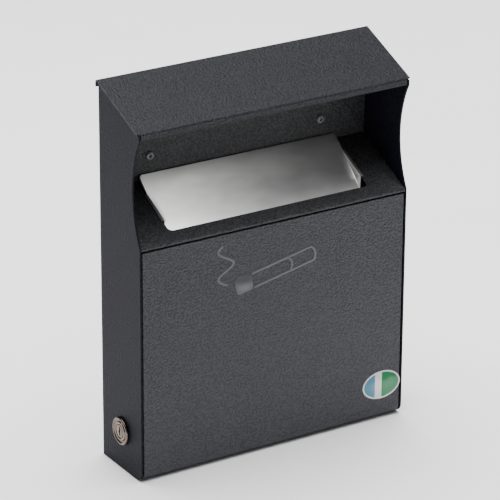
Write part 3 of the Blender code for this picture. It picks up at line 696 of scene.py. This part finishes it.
ledge = add("ledge_sheet", make_ledge(), "housing", COAT_INSERT_LIFTED, ["ledge"])
print("ledge faces:", len(ledge.data.polygons))

# %% [markdown]
# ## The stub-out plate
# Stainless sheet that falls flat from the rear flange, over the slot's rear edge and down
# into the slot, so that a stub pressed out on it rolls in.  It is steeper than the ledge.
# Its sides stand up as cheeks to the ledge plane and turn out as narrow rims.

# %% Plate
PLATE = 0.0010
PLATE_FRONT_Y, PLATE_FOOT_Z = 0.0210, 0.2161
PLATE_TOP_Z = 0.2535
PLATE_CORNER = 0.0035
PLATE_MARGIN = 0.0006
PLATE_SKIN = PLATE * 0.8        # drawn a little thinner, so that it clears its neighbours
RIM, RIM_FADE = 0.0022, 0.0006
MIN_RIM = 0.0004
CHEEK_TURN = 0.0012             # width of the turn between floor and cheek


def plate_grid():
    """Across, the section is rim, cheek, floor, cheek, rim.  A floor point lies on the
    plane; a rim point lies on the plane or on the ledge, whichever is higher, and the rims
    shrink to nothing where the plane has risen above the ledge."""
    rest = GAP + PLATE / 2 * math.hypot(1, LEDGE_SLOPE)
    back = LEDGE_BACK - INNER / 2 - GAP - PLATE_SKIN
    u = np.concatenate([[0, 0.004, 0.012, 0.024, 0.042], np.linspace(0.07, 1, 28)])
    y = back + (PLATE_FRONT_Y - back) * u
    z = PLATE_TOP_Z + (PLATE_FOOT_Z - PLATE_TOP_Z) * u
    below = np.maximum(ledge_z(y) + rest - z, 0)
    run = np.hypot(back - y, PLATE_TOP_Z - z)
    inward = PLATE_CORNER - np.sqrt(np.maximum(
        PLATE_CORNER ** 2 - np.maximum(PLATE_CORNER - run, 0) ** 2, 0))
    rim = RIM * np.clip(below / RIM_FADE, 0, 1)
    x0, x1 = SLOT[0] + PLATE_MARGIN + PLATE / 2, SLOT[2] - PLATE_MARGIN - PLATE / 2
    floor = spread(x0 + CHEEK_TURN, x1 - CHEEK_TURN, 0.006)
    across = np.concatenate([[x0, x0, x0, x0 + 0.0002], floor,
                             [x1 - 0.0002, x1, x1, x1]])
    out = np.concatenate([[-1, -0.5, -0.03, 0], np.zeros(len(floor)), [0, 0.03, 0.5, 1]])
    low = np.concatenate([[0, 0, 0, 0.88], np.ones(len(floor)), [0.88, 0, 0, 0]])
    middle, half = (x0 + x1) / 2, (x1 - x0) / 2
    x = across[None, :] + out[None, :] * np.maximum(rim, MIN_RIM)[:, None]
    x = middle + (x - middle) * (1 - inward / half)[:, None]
    return np.stack([x, np.broadcast_to(y[:, None], x.shape),
                     z[:, None] + below[:, None] * (1 - low[None, :])], axis=-1)


def plate_piece(grid):
    """A run of the section's columns as a sheet of its own."""
    mesh = mesh_from("plate", place(grid), grid_faces(*grid.shape[:2]))
    return sheet(mesh, PLATE_SKIN, edge=0.00025)


grid = plate_grid()
plate = add("stub_out_plate", plate_piece(grid[:, 3:-3]), "housing", STAINLESS,
            ["stub_plate"])
for word, columns in (("left", grid[:, :4]), ("right", grid[:, -4:])):
    add("stub_out_cheek_" + word, plate_piece(columns), "housing", STAINLESS)
print("plate faces:", len(plate.data.polygons))

# %% [markdown]
# ## The door
# The front panel, with a broad bend at its foot that turns under the bin.  It gets a
# hair's breadth of unevenness, the way a thin panel always has, so reflections waver.

# %% Door
DOOR_TOP, DOOR_BEND, DOOR_RETURN = 0.2121, 0.0080, 0.0180
DOOR_WAVE = 0.00010             # height of the unevenness
CALM = 0.03                     # width along the edges in which it dies away
FLANGE_HEIGHTS = [0.0085, 0.1945, 0.2065, 0.2095]
FLANGE_DEPTHS = [0.0145, 0.0145, 0.0096, 0.0078]
FLANGE_START = 0.0018
HINGE_AT, HINGE_HOLE = (0.0060, 0.2065), 0.00158


def make_door():
    """The folded line times a run of places across, and a wave that is the product of a
    sine across and a sine up, kept where it is positive and faded out at the edges."""
    half = SHEET / 2
    line = folded([(half, DOOR_TOP), (half, half), (DOOR_RETURN, half)], [DOOR_BEND],
                  steps=16, spacing=0.005)
    across = spread(-DOOR_HALF, DOOR_HALF, 0.006)
    shape = (len(line), len(across))
    x = np.broadcast_to(across, shape)
    z = np.broadcast_to(line[:, 1:], shape)
    wave = DOOR_WAVE * np.sin(x * 31 + 0.7) * np.sin(z * 37 + 0.4)
    fade = np.clip((z - 0.012) / CALM, 0, 1) * np.clip((DOOR_TOP - z) / CALM, 0, 1)
    fade = fade * np.clip((DOOR_HALF - np.abs(x)) / CALM, 0, 1)
    grid = np.stack([x, line[:, :1] + np.maximum(wave, 0) * fade, z], axis=-1)
    mesh = mesh_from("door", place(grid), grid_faces(*shape))
    return sheet(mesh, SHEET, edge=0.00055)


def make_door_flange(side):
    """Side flange: rows from the foot to the hinge ear, behind the panel.  Its depth is a
    straight line between the listed heights."""
    z = spread(FLANGE_HEIGHTS[0], FLANGE_HEIGHTS[-1], 0.01)
    depth = np.interp(z, FLANGE_HEIGHTS, FLANGE_DEPTHS)
    y = FLANGE_START + (depth - FLANGE_START)[:, None] * np.linspace(0, 1, 4)[None, :]
    x = np.full_like(y, side * (DOOR_HALF - SHEET / 2))
    mesh = mesh_from("flange", place(np.stack([x, y, np.repeat(z[:, None], 4, 1)], -1)),
                     grid_faces(*y.shape))
    hinge = plug_cutter("ear", circle(*HINGE_AT, HINGE_HOLE), "x",
                        side * DOOR_HALF - REACH, side * DOOR_HALF + REACH)
    return sheet(mesh, SHEET, [hinge], edge=0.0003)


door = add("door_panel", make_door(), "door", COAT, ["door"])
for side, word in ((-1, "left"), (1, "right")):
    add("door_flange_" + word, make_door_flange(side), "door", COAT)
print("door faces:", len(door.data.polygons))

# %% [markdown]
# ## Rivets
# A blind rivet's dome, with the hole that its broken-off mandrel leaves, and the set end
# behind the back panel.  A profile turned about the rivet's own axis gives both.  Each
# pair in a profile is a depth along the axis and the radius there.

# %% Rivets
HEAD = 0.0040                   # radius of the head
BRIM = 0.0005                   # height of its straight edge
CROWN = 0.0009                  # height of the dome above it
CROWN_FLAT = 0.0014             # radius at which the dome meets the hole's rim


def make_rivet(x, z):
    """A flat disc with a straight brim and a quarter ellipse for a dome, then the hole."""
    face = LEDGE_BACK - INNER / 2 - GAP
    dome = np.radians(np.linspace(8, 88, 10))
    profile = [(face, 0.0), (face, HEAD - 0.0001), (face - 0.0003, HEAD),
               (face - BRIM, HEAD)]
    profile += [(face - BRIM - CROWN * math.sin(a),
                 CROWN_FLAT + (HEAD - CROWN_FLAT) * math.cos(a)) for a in dome]
    profile += [(face - 0.0012, 0.00125), (face - 0.0009, 0.0011), (face - 0.0001, 0.0010),
                (face - 0.0001, 0.0)]
    return turned("rivet", profile, (x, 0, z), (0, 1, 0), 48)


def make_set_end(x, z):
    """The squeezed end of the rivet: a stem through the sheets and a rounded bulb."""
    tail = BACK + GAP / 2
    profile = [(tail - 0.002, 0.0), (tail - 0.002, 0.0018), (tail, 0.0019),
               (tail + 0.0002, 0.0028), (tail + 0.0007, 0.0032), (tail + 0.0012, 0.0027),
               (tail + 0.0015, 0.0012), (tail + 0.0013, 0.0)]
    return turned("set_end", profile, (x, 0, z), (0, 1, 0), 32)


for (x, z), word in zip(RIVET_PLACES, ("left", "right")):
    add("rivet_head_" + word, make_rivet(x, z), "housing", RIVET,
        ["rivet_" + word])
    add("rivet_tail_" + word, make_set_end(x, z), "housing", ZINC)
print("rivets:", len(RIVET_PLACES))

# %% [markdown]
# ## The cam lock
# A turned head with a rolled rim, a shallow groove and a flat land round the key plug.
# The plug carries an upright keyway with its wards.  Both are turned profiles; the
# keyway is cut out of the plug's face.

# %% Lock
LOCK_FACE = float(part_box("lock_housing")[0][0])
LOCK_END = -0.1140
CORE_END = -0.1137
PLUG_R = 0.0060
HEAD_R, BARREL_R = 0.0126, 0.0095
CURL = 0.0012                   # radius of the rolled rim
FLAT_FROM, FLAT_TO = 0.0080, 0.0120     # two flats keep the barrel from turning


def make_lock_head():
    """Barrel, seat and head as one profile; the rim is a quarter circle, and the face
    inside it goes down to a groove, up to a land and down again to the plug."""
    face, seat = LOCK_FACE, -SIDE_OUT - GAP
    profile = [(LOCK_END, PLUG_R + 0.0001), (LOCK_END, BARREL_R), (seat, BARREL_R),
               (seat, 0.0125), (seat - 0.0003, HEAD_R), (face + 0.0013, HEAD_R)]
    curl = np.radians(np.linspace(0, 90, 8))
    profile += [(face + 0.0013 - CURL * math.sin(a), 0.0114 + CURL * math.cos(a))
                for a in curl]
    profile += [(face + 0.0002, 0.0108), (face + 0.0009, 0.0102), (face + 0.0013, 0.0097),
                (face + 0.0013, 0.0091), (face + 0.0002, 0.0084), (face + 0.0002, 0.0074),
                (face + 0.0005, PLUG_R + 0.0003), (face + 0.0009, PLUG_R + 0.0001),
                (LOCK_END, PLUG_R + 0.0001)]
    mesh = turned("lock_head", profile, (0, *LOCK_AT), (1, 0, 0), 96)
    flats = [plug_cutter("flat", [(y0, 0.02), (y1, 0.02), (y1, 0.052), (y0, 0.052)], "x",
                         seat, LOCK_END + 0.005)
             for y0, y1 in ((LOCK_AT[0] + FLAT_FROM, LOCK_AT[0] + FLAT_TO),
                            (LOCK_AT[0] - FLAT_TO, LOCK_AT[0] - FLAT_FROM))]
    return rolled(cut(mesh, flats), 0.0001, 2, 50)


def make_lock_core():
    """A round bar with a rounded front edge, less the keyway: an upright slit with one
    ward on either side."""
    face = LOCK_FACE + 0.0004
    profile = [(face, 0.0), (face, PLUG_R - 0.0005), (face + 0.0002, PLUG_R - 0.0001),
               (face + 0.0006, PLUG_R), (CORE_END, PLUG_R), (CORE_END, 0.0)]
    mesh = turned("lock_core", profile, (0, *LOCK_AT), (1, 0, 0), 64)
    y, z = LOCK_AT
    keyway = [(y - 0.0007, z - 0.0042), (y + 0.0007, z - 0.0042), (y + 0.0007, z - 0.0016),
              (y + 0.0017, z - 0.0016), (y + 0.0017, z + 0.0004), (y + 0.0007, z + 0.0004),
              (y + 0.0007, z + 0.0042), (y - 0.0007, z + 0.0042), (y - 0.0007, z + 0.0022),
              (y - 0.0014, z + 0.0022), (y - 0.0014, z + 0.0010), (y - 0.0007, z + 0.0010)]
    cutter = plug_cutter("keyway", keyway, "x", face - 0.01, face + 0.009)
    return rolled(cut(mesh, [cutter]), 0.00012, 2, 50)


add("lock_head", make_lock_head(), "housing", NICKEL, ["lock_housing"])
add("lock_core", make_lock_core(), "lock_rotor", NICKEL, ["lock_plug"])
print("lock face at x = %.4f m" % LOCK_FACE)


# %% [markdown]
# ## Printed cigarette and oval label
# Flat films a fraction of a millimetre proud.  The cigarette is drawn in outline: a round
# ended tube, an arc where the filter begins, a solid ember and an S of smoke.  Each is a
# strip about a middle line, so every line keeps one width however it winds.

# %% Strips and flat films
FILM_LIFT, FILM_GAUGE = 0.00006, 0.0001


def ribbon(name, line, width, lift=FILM_LIFT):
    """A strip about a line in the plane of the door: middle plus and minus half the width
    along the line's normal."""
    line = np.asarray(line, float)
    along = np.gradient(line, axis=0)
    along /= np.linalg.norm(along, axis=1, keepdims=True)
    normal = np.stack([-along[:, 1], along[:, 0]], axis=1)
    half = np.broadcast_to(np.asarray(width, float) / 2, (len(line),))[:, None]
    sides = np.stack([line - normal * half, line + normal * half], axis=1)
    y = np.full(sides.shape[:2] + (1,), -lift)
    points = np.concatenate([sides[..., :1], y, sides[..., 1:]], axis=-1)
    mesh = mesh_from(name, place(points), grid_faces(len(line), 2))
    solid = modified(mesh, ("SOLIDIFY", dict(thickness=FILM_GAUGE, offset=0.0)))
    outward(solid)
    return solid


def flat_film(name, outline, lift=FILM_LIFT):
    """A flat film with the given outline in the plane of the door."""
    outline = np.asarray(outline, float)
    points = np.stack([outline[:, 0], np.full(len(outline), -lift), outline[:, 1]], axis=1)
    mesh = bpy.data.meshes.new(name)
    mesh.from_pydata(place(points), [], [list(range(len(outline)))])
    solid = modified(mesh, ("SOLIDIFY", dict(thickness=FILM_GAUGE, offset=0.0)))
    outward(solid)
    return solid


print("films are %.1f mm thick" % (FILM_GAUGE * 1000))


# %% [markdown]
# The tube's outline and the arc of the filter are worked out lying level about the mark's
# middle and then tilted together.  The smoke is worked out upright, in its own place.

# %% Cigarette
MARK_AT, MARK_TURN = np.array([0.0000, 0.1689]), math.radians(11.5)
MARK_HALF, MARK_TALL, MARK_LINE = 0.0411, 0.0066, 0.0024


def along_mark(points):
    """Turns points about the mark's middle by its tilt."""
    c, s = math.cos(MARK_TURN), math.sin(MARK_TURN)
    return np.asarray(points, float) @ np.array([[c, s], [-s, c]]) + MARK_AT


def tube_line():
    """The outline of the tube: out along the top, round the end, back along the foot."""
    a = np.radians(np.linspace(90, -90, 17))
    end = MARK_HALF - 0.0046
    bow = np.stack([end + 0.0040 * np.cos(a), MARK_TALL * np.sin(a)], axis=1)
    x = np.linspace(-MARK_HALF + 0.0172, end, 16)[:-1]
    top = np.stack([x, np.full_like(x, MARK_TALL)], axis=1)
    return along_mark(np.concatenate([top, bow, top[::-1] * [1, -1]]))


def filter_line():
    """A shallow arc across the tube where the filter begins."""
    a = np.radians(np.linspace(70, -70, 12))
    tall = MARK_TALL - MARK_LINE * 0.4
    return along_mark(np.stack([0.0125 + 0.0040 * np.cos(a),
                                tall * np.sin(a) / math.sin(math.radians(70))], axis=1))


def smoke_line():
    """Smoke that climbs evenly while it swings from side to side as a cosine."""
    z = np.linspace(0.1652, 0.2022, 70)
    x = -0.0502 + 0.0076 * np.cos(2 * math.pi * (z - 0.1848) / 0.0250)
    return np.stack([x, z], axis=1)


EMBER = along_mark(round_rect(-MARK_HALF, -MARK_TALL - MARK_LINE / 2, -MARK_HALF + 0.0166,
                              MARK_TALL + MARK_LINE / 2, 0.0030))
for name, mesh, nodes in (
        ("print_tube", ribbon("tube", tube_line(), MARK_LINE), ["mark_tube"]),
        ("print_filter", ribbon("filter", filter_line(), MARK_LINE * 0.8, 0.00007), []),
        ("print_ember", flat_film("ember", EMBER), ["mark_ember"]),
        ("print_smoke", ribbon("smoke", smoke_line(), 0.0024), ["mark_smoke"])):
    add(name, mesh, "door", PRINT, nodes)


print("mark is %.0f mm long" % (MARK_HALF * 2000))


# %% [markdown]
# The label is a white oval with two colour fields on it, cut off upright so that a white
# bar stays between them.  Each film lies a little higher than the one below.

# %% Oval label
LABEL_AT = np.array([0.1120, 0.0330])
LABEL_RADII, FIELD_RADII = (0.0198, 0.0134), (0.0182, 0.0119)
FIELD_LIFT = 0.00015


def oval(centre, radii, n=96):
    """Centre + (rx cos a, rz sin a) for n even steps of a."""
    a = np.linspace(0, 2 * math.pi, n, endpoint=False)
    return np.stack([centre[0] + radii[0] * np.cos(a), centre[1] + radii[1] * np.sin(a)],
                    axis=1)


def oval_part(centre, radii, low, high):
    """The part of an oval between two upright cuts, given as parts of its half width."""
    a = np.linspace(math.asin(low), math.asin(high), 30)
    top = np.stack([np.sin(a) * radii[0], np.cos(a) * radii[1]], axis=1)
    return np.concatenate([top, top[::-1] * [1, -1]]) + centre


add("oval_label_film", flat_film("label", oval(LABEL_AT, LABEL_RADII)), "door",
    LABEL_WHITE, ["oval_label"])
for word, film_material, low, high in (("left", LABEL_BLUE, -0.999, -0.38),
                                       ("right", LABEL_GREEN, 0.02, 0.999)):
    field = oval_part(LABEL_AT, FIELD_RADII, low, high)
    add("oval_label_" + word, flat_film(word, field, FIELD_LIFT), "door", film_material)
print("label is %.0f mm wide" % (LABEL_RADII[0] * 2000))

# %% [markdown]
# ## Hidden parts that the open door shows
# The collector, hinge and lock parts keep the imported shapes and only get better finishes.

# %% Carried-over parts
FINISH = {"zinc": ZINC, "galvanised": GALVANISED, "powder_coat": COAT_SIDE_SHADED,
          "lock_nickel": NICKEL, "ledge_coat": COAT_INSERT_LIFTED, "stainless": STAINLESS,
          "rivet_alloy": RIVET, "print_grey": PRINT, "label_film": LABEL_WHITE}
SLOT_OF = {part["node"]: part["material_slot"] for part in frame["record"]["subparts"]}
for node, part in frame["nodes"].items():
    for holder in part.material_slots:
        holder.material = FINISH[SLOT_OF[node]]
print("carried over:", len(frame["nodes"]), "nodes")

# %% [markdown]
# ## Floor
# A pale sheet of paper, wide enough to run past every view.  It lies a little below the
# bin, so that a soft shadow shows along the bottom edge.

# %% Floor
FLOOR_HALF, FLOOR_DROP = 6.0, 0.0006


def make_floor():
    """A square of paper with faint fibres."""
    size, under = FLOOR_HALF, -FLOOR_DROP
    points = np.array([(-size, -size, under), (size, -size, under),
                       (size, size, under), (-size, size, under)])
    floor = bpy.data.objects.new("floor", mesh_from("floor", place(points),
                                                    np.array([[0, 1, 2, 3]])))
    bpy.context.scene.collection.objects.link(floor)
    material, nodes, links, shader, coords = new_material("floor_paper", 0.0, 0.7)
    fibres = noise(nodes, links, coords, 6, 2.0)
    links.new(colour_between(nodes, links, fibres, (0.87,) * 3, (0.90,) * 3),
              shader.inputs["Base Color"])
    floor.data.materials.append(material)
    return floor


floor = make_floor()
print("floor is %.0f m wide" % (FLOOR_HALF * 2))

# %% [markdown]
# ## Light
# A large softbox overhead and a smaller one in front stand for the studio.  A sheet of
# brushed steel shows whatever it faces, so the plate gets a small card close by, which
# makes it bright on the left and dark on the right.  A low card lifts the foot of the
# door, and a wash whitens the floor.

# %% Lamps
def area_light(name, at, aim, size, power):
    """A rectangular lamp at one place, turned to face another."""
    data = bpy.data.lights.new(name, "AREA")
    data.shape, data.size, data.size_y = "RECTANGLE", *size
    data.energy = power
    lamp = bpy.data.objects.new(name, data)
    lamp.location = at
    lamp.visible_camera = False
    lamp.rotation_euler = (Vector(aim) - Vector(at)).to_track_quat("-Z", "Y").to_euler()
    bpy.context.scene.collection.objects.link(lamp)
    return lamp


area_light("top_softbox", (-0.05, 0.2, 2.3), (0, 0, 0), (2.4, 2.4), 88)
high = area_light("front_softbox", (0.3, -1.3, 2.2), (0, 0, 0), (1.2, 1.0), 11)
card = area_light("plate_card", (-0.025, -0.175, 0.245), (-0.12, -0.032, 0.063),
                  (0.05, 0.05), 0.70)
wash = area_light("floor_wash", (0.3, 0.6, 2.5), (0.3, 0.3, 0), (3.0, 3.0), 150)
low = area_light("door_card", (0.0, -0.17, -0.15), (0.0, -0.068, -0.10), (0.42, 0.02), 0.07)
print("lamps:", ", ".join(lamp.name for lamp in bpy.data.lights))

# %% [markdown]
# A studio hides a card from the rest of the object with black flags.  Light linking does
# the same: each lamp gets a collection that says which pieces it lights, or which it
# leaves out.  The plate's card, the wash and the door's card light only their own pieces;
# the front softbox lights everything but the plate.

# %% Which lamp lights what
on_door = [piece for piece in bpy.context.scene.objects
           if piece.name.startswith(("door_panel", "print_", "oval_label_"))]
for lamp, pieces, state in ((card, [plate], "INCLUDE"), (wash, [floor], "INCLUDE"),
                            (high, [plate], "EXCLUDE"), (low, on_door, "INCLUDE")):
    lit = bpy.data.collections.new("linked_to_" + lamp.name)
    for piece in pieces:
        lit.objects.link(piece)
    for member in lit.collection_objects:
        member.light_linking.link_state = state
    lamp.light_linking.receiver_collection = lit
    print(lamp.name, state.lower() + "s", ", ".join(piece.name for piece in pieces))

# %% [markdown]
# The rest of the room is one even, slightly cool grey, which fills the shadows.

# %% Room
ROOM_COLOUR, ROOM_STRENGTH = (0.94, 0.96, 1.0, 1), 0.22
world = bpy.data.worlds.new("tent")
world.use_nodes = True
world.node_tree.nodes["Background"].inputs["Color"].default_value = ROOM_COLOUR
world.node_tree.nodes["Background"].inputs["Strength"].default_value = ROOM_STRENGTH
bpy.context.scene.world = world
print("room strength", ROOM_STRENGTH)

# %% [markdown]
# ## Camera
# The camera stands well off with a long lens, to the left of the bin and above it, so
# that the near and the far edges look almost parallel.  Heading is measured from straight
# ahead towards the right, tilt from level down.

# %% Camera
CAMERA_AT = (-1.32058, -2.14354, 1.05854)
HEADING, TILT, ROLL = 0.557634, 0.398821, 0.005623
SENSOR, LENS = 36.0, 225.4      # millimetres
camera_data = bpy.data.cameras.new("camera")
camera_data.sensor_width, camera_data.lens = SENSOR, LENS
camera = bpy.data.objects.new("camera", camera_data)
camera.location = CAMERA_AT
ahead = Vector((math.sin(HEADING) * math.cos(TILT), math.cos(HEADING) * math.cos(TILT),
                -math.sin(TILT)))
camera.rotation_euler = (ahead.to_track_quat("-Z", "Y").to_matrix()
                         @ Matrix.Rotation(ROLL, 3, "Z")).to_euler()
bpy.context.scene.collection.objects.link(camera)
bpy.context.scene.camera = camera
print("camera is %.2f m from the bin" % camera.location.length)
